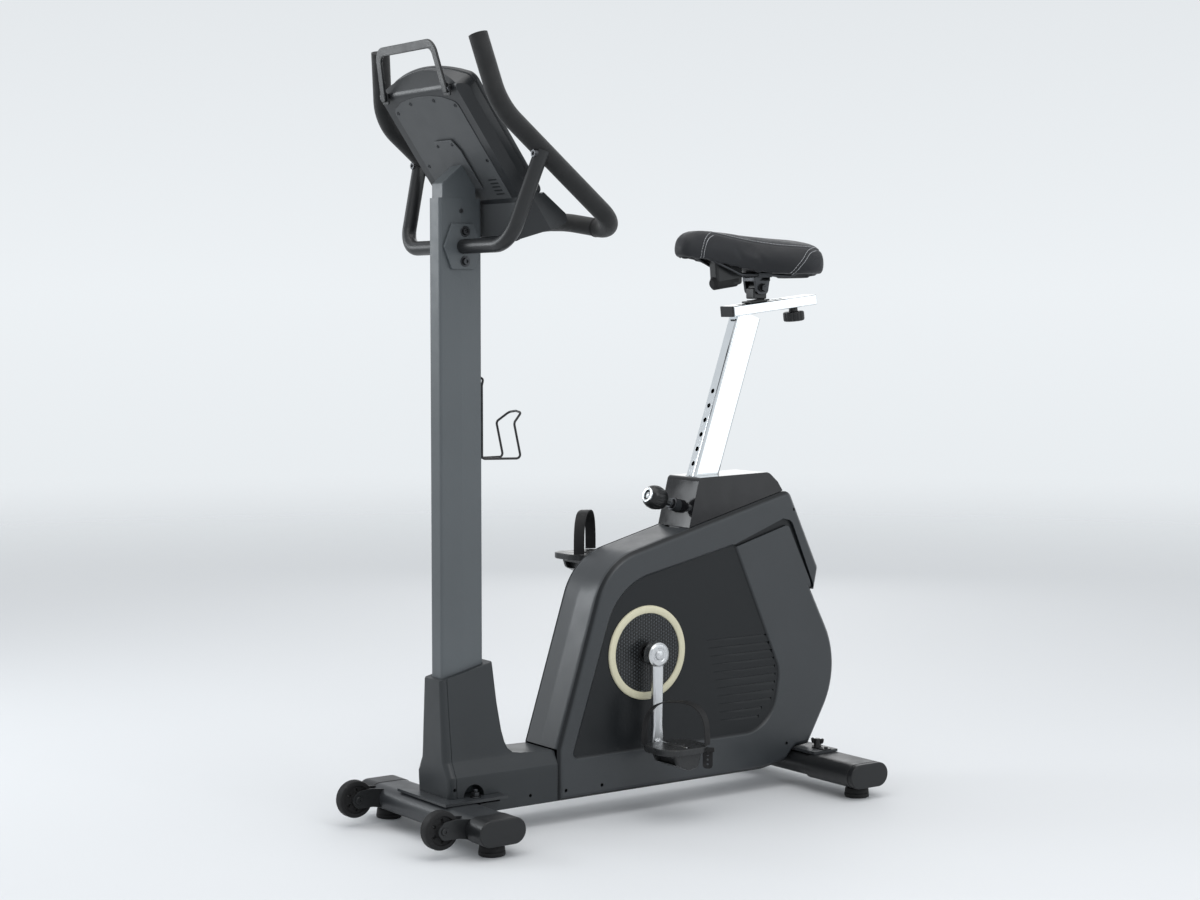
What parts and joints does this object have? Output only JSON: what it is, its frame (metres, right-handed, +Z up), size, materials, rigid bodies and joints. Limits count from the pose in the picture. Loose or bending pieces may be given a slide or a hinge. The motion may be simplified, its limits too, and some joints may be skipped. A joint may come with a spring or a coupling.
{
  "type": "upright exercise bike",
  "caption": "Upright exercise bike with a magnetic brake, strapped pedals, an adjustable saddle, a bottle cage and a console between long handlebars.",
  "frame": {"origin": "on the floor at the middle of the bike's bounding box", "axes": "+Z up, the rider faces -Y, the rider's left is +X"},
  "size_m": [0.49, 1.037, 1.4421],
  "materials": {
    "frame_paint": "satin powder coat",
    "matt_plastic": "fine grained",
    "gloss_plastic": "polished",
    "chrome": "bright",
    "aluminium": "polished",
    "steel": "zinc plated",
    "cast_iron": "machined rim",
    "rubber": "matt",
    "foam": "closed-cell foam",
    "leather": "grained, stitched",
    "glass": "smoked",
    "wire": "coated wire"
  },
  "bodies": {
    "frame": {"front_stabiliser": "frame_paint", "rear_stabiliser": "frame_paint", "front_cap_left": "matt_plastic", "front_cap_right": "matt_plastic", "rear_cap_left": "matt_plastic", "rear_cap_right": "matt_plastic", "main_frame": "frame_paint", "mast": "frame_paint", "mast_boot": "matt_plastic", "side_cover_left": "matt_plastic", "side_cover_right": "matt_plastic", "cover_spine": "matt_plastic", "crank_cover_left": "matt_plastic", "crank_cover_right": "matt_plastic", "seat_shroud": "gloss_plastic", "crank_bearing_left": "steel", "crank_bearing_right": "steel", "flywheel_axle": "steel", "drive_belt": "rubber", "brake_motor": "matt_plastic", "seat_bush": "matt_plastic", "console_back": "matt_plastic", "console_face": "matt_plastic", "console_glass": "glass", "console_neck": "frame_paint", "handlebar": "frame_paint", "handle_grip_left": "foam", "handle_grip_right": "foam", "handle_support_left": "frame_paint", "handle_support_right": "frame_paint", "bottle_cage": "wire"},
    "crank_set": {"crank_axle": "steel", "crank_left": "aluminium", "crank_right": "aluminium", "drive_pulley": "matt_plastic"},
    "pedal_left": {"pedal_left": "matt_plastic", "pedal_strap_left": "rubber"},
    "pedal_right": {"pedal_right": "matt_plastic", "pedal_strap_right": "rubber"},
    "flywheel": {"flywheel": "cast_iron"},
    "brake": {"brake_magnets": "steel"},
    "seat_height": {"seat_post": "chrome", "seat_rail": "chrome", "rail_cap": "matt_plastic"},
    "saddle_slider": {"saddle_carriage": "frame_paint"},
    "slider_knob": {"rail_knob": "matt_plastic"},
    "saddle": {"saddle_clamp": "steel", "saddle_base": "matt_plastic", "saddle_cushion": "leather"},
    "post_pin": {"pull_pin": "matt_plastic"},
    "tablet_loop": {"tablet_loop": "frame_paint"},
    "mode_button": {"button_mode": "matt_plastic"},
    "start_button": {"button_start_stop": "matt_plastic"},
    "recovery_button": {"button_recovery": "matt_plastic"},
    "wheel_left": {"transport_wheel_left": "rubber"},
    "wheel_right": {"transport_wheel_right": "rubber"},
    "foot_front_left": {"front_foot_left": "rubber"},
    "foot_front_right": {"front_foot_right": "rubber"},
    "foot_rear_left": {"rear_foot_left": "rubber"},
    "foot_rear_right": {"rear_foot_right": "rubber"}
  },
  "joints": [
    {"name": "flywheel_spin", "type": "hinge", "parent": "frame", "child": "flywheel", "pos_m": [0, 0.365, 0.236], "axis": [1, 0, 0], "continuous": true},
    {"name": "crank_spin", "type": "hinge", "parent": "frame", "child": "crank_set", "pos_m": [0, 0.042, 0.305], "axis": [1, 0, 0], "continuous": true},
    {"name": "pedal_left_spin", "type": "hinge", "parent": "crank_set", "child": "pedal_left", "pos_m": [0.149, 0.042, 0.135], "axis": [1, 0, 0], "continuous": true},
    {"name": "pedal_right_spin", "type": "hinge", "parent": "crank_set", "child": "pedal_right", "pos_m": [-0.149, 0.042, 0.475], "axis": [1, 0, 0], "continuous": true},
    {"name": "brake_swing", "type": "hinge", "parent": "frame", "child": "brake", "pos_m": [0.004, 0.2, 0.118], "axis": [1, 0, 0], "range_deg": [-2, 10]},
    {"name": "seat_height_slide", "type": "slide", "parent": "frame", "child": "seat_height", "axis": [0, 0.3256, 0.9455], "range_m": [-0.24, 0.06]},
    {"name": "saddle_slide", "type": "slide", "parent": "seat_height", "child": "saddle_slider", "axis": [0, 0.9936, 0.1132], "range_m": [-0.035, 0.03]},
    {"name": "slider_knob_turn", "type": "hinge", "parent": "saddle_slider", "child": "slider_knob", "pos_m": [0, 0.453, 0.97787], "axis": [0, -0.1132, 0.9936], "range_deg": [0, 360]},
    {"name": "saddle_tilt", "type": "hinge", "parent": "saddle_slider", "child": "saddle", "pos_m": [0, 0.357, 1.006], "axis": [1, 0, 0], "range_deg": [-8, 8]},
    {"name": "post_pin_slide", "type": "slide", "parent": "frame", "child": "post_pin", "axis": [0, -0.9455, 0.3256], "range_m": [-0.01, 0.012]},
    {"name": "tablet_loop_tilt", "type": "hinge", "parent": "frame", "child": "tablet_loop", "pos_m": [0, -0.434, 1.347], "axis": [1, 0, 0], "range_deg": [0, 60]},
    {"name": "mode_button_press", "type": "slide", "parent": "frame", "child": "mode_button", "axis": [0, -0.8192, -0.5736], "range_m": [0, 0.0015], "stiffness_N_per_m": 600},
    {"name": "start_button_press", "type": "slide", "parent": "frame", "child": "start_button", "axis": [0, -0.8192, -0.5736], "range_m": [0, 0.0015], "stiffness_N_per_m": 600},
    {"name": "recovery_button_press", "type": "slide", "parent": "frame", "child": "recovery_button", "axis": [0, -0.8192, -0.5736], "range_m": [0, 0.0015], "stiffness_N_per_m": 600},
    {"name": "wheel_left_spin", "type": "hinge", "parent": "frame", "child": "wheel_left", "pos_m": [0.152, -0.4835, 0.0515], "axis": [1, 0, 0], "continuous": true},
    {"name": "wheel_right_spin", "type": "hinge", "parent": "frame", "child": "wheel_right", "pos_m": [-0.152, -0.4835, 0.0515], "axis": [1, 0, 0], "continuous": true},
    {"name": "foot_front_left_turn", "type": "hinge", "parent": "frame", "child": "foot_front_left", "pos_m": [0.18, -0.393, 0.01], "axis": [0, 0, 1], "range_deg": [-180, 180]},
    {"name": "foot_front_right_turn", "type": "hinge", "parent": "frame", "child": "foot_front_right", "pos_m": [-0.18, -0.393, 0.01], "axis": [0, 0, 1], "range_deg": [-180, 180]},
    {"name": "foot_rear_left_turn", "type": "hinge", "parent": "frame", "child": "foot_rear_left", "pos_m": [0.207, 0.449, 0.01], "axis": [0, 0, 1], "range_deg": [-180, 180]},
    {"name": "foot_rear_right_turn", "type": "hinge", "parent": "frame", "child": "foot_rear_right", "pos_m": [-0.207, 0.449, 0.01], "axis": [0, 0, 1], "range_deg": [-180, 180]}
  ],
  "couplings": [
    {"joint": "crank_spin", "follows": "flywheel_spin", "ratio": 0.2}
  ]
}
